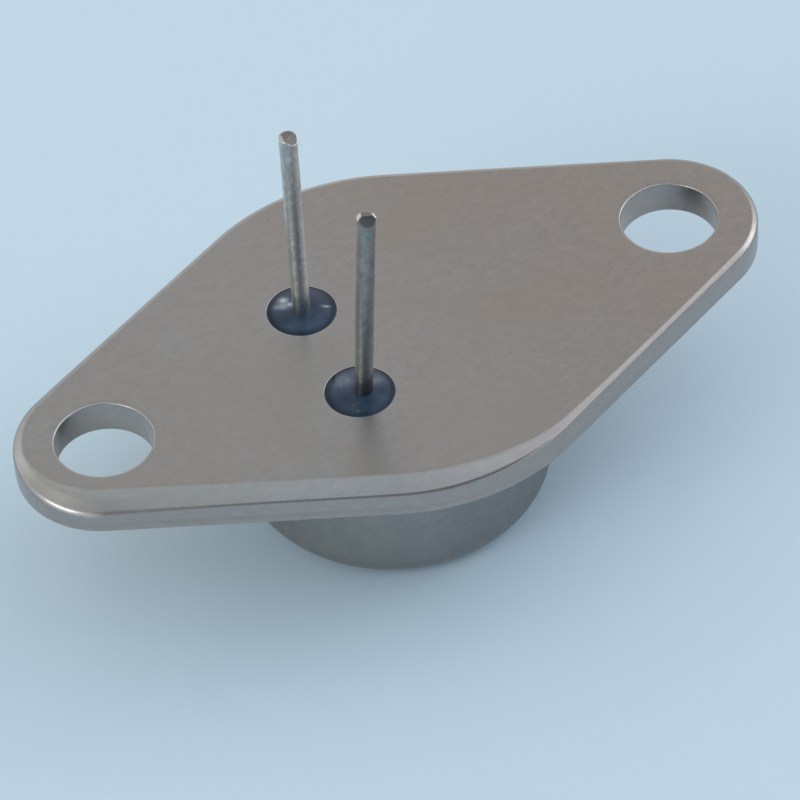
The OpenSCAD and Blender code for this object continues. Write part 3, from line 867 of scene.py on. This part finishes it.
header_piece(FINISHES["header_nickel"])
cap_piece(FINISHES["cap_nickel"])
pin_piece("upright_pin", "gate_pin", 1, FINISHES["pin_nickel"], UPRIGHT_CUTS, phase=0.4,
          pinch=0.0, tone_and_side_light=(0.75, 0.12, -30))
pin_piece("leaning_pin", "cathode_pin", -1, FINISHES["pin_nickel"], LEANING_CUTS, phase=2.3,
          pinch=0.16, tone_and_side_light=(-0.08, 0.22, 150))
seal_piece("upright_pin_bead", "gate_glass_seal", 1, FINISHES["seal_glass"],
           lift=(0.0, 0.0), glints=UPRIGHT_GLINTS)
seal_piece("leaning_pin_bead", "cathode_glass_seal", -1, FINISHES["seal_glass"],
           lift=(-0.01, 0.01), glints=LEANING_GLINTS)


# ---- floor, light and camera ----

FLOOR_HALF = 1.2
FLOOR_BLUE = ((0.532, 0.682, 0.799, 1), (0.551, 0.702, 0.819, 1))

# The light of the room: an even glow, and soft patches of more glow round the walls, each
# with the azimuth and elevation of its middle and its colour. All have the same spread.
EVEN_GLOW = (0.369, 0.346, 0.327)
PATCH_SPREAD = 40
WALL_GLOW = [
    (24, 12, (0.72, 0.67, 0.65)), (84, 12, (1.22, 1.21, 1.25)),
    (84, 50, (0.58, 0.59, 0.63)), (144, 12, (1.15, 1.15, 1.20)),
    (144, 50, (0.36, 0.41, 0.48)), (-156, 12, (0.92, 0.92, 0.95)),
    (-156, 50, (0.26, 0.28, 0.31)), (-96, 12, (0.84, 0.84, 0.82)),
    (-96, 50, (0.16, 0.17, 0.13)), (-36, 12, (0.80, 0.78, 0.75)),
    (-36, 50, (0.348, 0.340, 0.285)), (0, 90, (0.155, 0.215, 0.265)),
]

# Where the viewer stands the room is darker. The figure is made up of round shades, each
# with an azimuth, an elevation and a strength.
VIEWER_GLOW = (0.20, 0.22, 0.25)
VIEWER_PARTS = [(-155.6, 42, 1.0), (-155.6, 26, 1.0), (-155.6, 10, 0.7), (-178, 36, 1.0),
                (-178, 20, 1.0), (-175, 6, 0.6), (161, 30, 1.0), (161, 16, 1.0),
                (146, 22, 1.0)]
VIEWER_SPREAD = (17, 6)             # degrees off where a shade starts, and where it is full

# Name, azimuth, elevation, distance, width, height, glow and colour of each softbox.
SOFTBOXES = [
    ("left_window", -106, 28, 0.5, 0.22, 0.13, 4.20, (0.973, 0.999, 1.000)),
    ("right_window", 90, 24, 0.5, 0.17, 0.18, 1.60, (0.943, 0.966, 1.000)),
    ("overhead", 20, 78, 0.4, 0.30, 0.30, 0.095, (0.958, 0.977, 1.000)),
]

LENS, SENSOR = 263.576, 36.0        # these and its place are in millimetres
CAMERA_AT = (-65.6277, -145.2346, 158.9366 + SEAT_Z)
CAMERA_RIGHT = (0.889993, -0.453758, -0.044905)
CAMERA_UP = (0.353012, 0.623343, 0.697729)
CAMERA_FORWARD = (0.288609, 0.636826, -0.714953)


def floor_piece():
    """A pale blue matte sheet with a very faint mottle."""
    far = FLOOR_HALF
    mesh = bpy.data.meshes.new("floor")
    mesh.from_pydata([(-far, -far, 0), (far, -far, 0), (far, far, 0), (-far, far, 0)],
                     [], [(0, 1, 2, 3)])
    material, tree, shader, place = new_finish("pale_floor")
    grit = pattern(tree, GRAIN, place, Size=0.0005)
    fit(tree, shader, Base_Color=tint(tree, grit["Shade"], *FLOOR_BLUE), Roughness=0.9,
        Specular_IOR_Level=0.15)
    mesh.materials.append(material)
    floor = bpy.data.objects.new("floor", mesh)
    bpy.context.scene.collection.objects.link(floor)


def way(azimuth, elevation):
    """Unit vector towards an azimuth, clockwise from +Y, and an elevation, in degrees."""
    a, e = math.radians(azimuth), math.radians(elevation)
    return Vector((math.sin(a) * math.cos(e), math.cos(a) * math.cos(e), math.sin(e)))


def softbox(name, azimuth, elevation, distance, width, height, glow, colour):
    """A flat light that faces the object. glow is its brightness as seen, so its power is
    pi times its area times the glow."""
    lamp = bpy.data.lights.new(name, "AREA")
    lamp.shape, lamp.size, lamp.size_y = "RECTANGLE", width, height
    lamp.energy = glow * math.pi * width * height
    lamp.color = colour
    box = bpy.data.objects.new(name, lamp)
    bpy.context.scene.collection.objects.link(box)
    box.location = way(azimuth, elevation) * distance
    box.rotation_euler = way(azimuth, elevation).to_track_quat("Z", "Y").to_euler()


def room():
    """The light of the room from each direction: the even glow and the patches, added up,
    and the viewer's own glow in place of them where the viewer stands."""
    world = bpy.data.worlds.new("room")
    bpy.context.scene.world = world
    world.use_nodes = True
    tree = world.node_tree
    tree.nodes.clear()
    facing = tree.nodes.new("ShaderNodeTexCoord").outputs["Generated"]

    def near(azimuth, elevation, start, full):
        """1 within full degrees of a direction and 0 beyond start degrees."""
        along = put(tree, "VectorMath", {"operation": "DOT_PRODUCT"},
                    i0=facing, i1=way(azimuth, elevation)).outputs["Value"]
        return band_of(tree, along, math.cos(math.radians(start)),
                       math.cos(math.radians(full)))

    glow = EVEN_GLOW
    for azimuth, elevation, colour in WALL_GLOW:
        patch = vector(tree, "SCALE", colour, Scale=near(azimuth, elevation, PATCH_SPREAD, 0))
        glow = vector(tree, "ADD", glow, patch)
    figure = 0.0
    for azimuth, elevation, shade in VIEWER_PARTS:
        part = calc(tree, "MULTIPLY", near(azimuth, elevation, *VIEWER_SPREAD), shade)
        figure = calc(tree, "MAXIMUM", part, figure)
    glow = tint(tree, figure, glow, (*VIEWER_GLOW, 1))
    background = put(tree, "Background", Color=glow, Strength=1.0)
    out = tree.nodes.new("ShaderNodeOutputWorld")
    tree.links.new(background.outputs[0], out.inputs["Surface"])


def camera():
    """A long lens from above and in front, turned a little on its axis."""
    view = bpy.data.cameras.new("camera")
    view.sensor_width, view.lens = SENSOR, LENS
    view.clip_start, view.clip_end = 0.01, 10.0
    seat = bpy.data.objects.new("camera", view)
    turn = Matrix((CAMERA_RIGHT, CAMERA_UP, -Vector(CAMERA_FORWARD))).transposed().to_4x4()
    seat.matrix_world = Matrix.Translation(Vector(CAMERA_AT) * MM) @ turn
    bpy.context.scene.collection.objects.link(seat)
    bpy.context.scene.camera = seat


floor_piece()
for box in SOFTBOXES:
    softbox(*box)
room()
camera()
bpy.context.scene.view_settings.view_transform = "Standard"
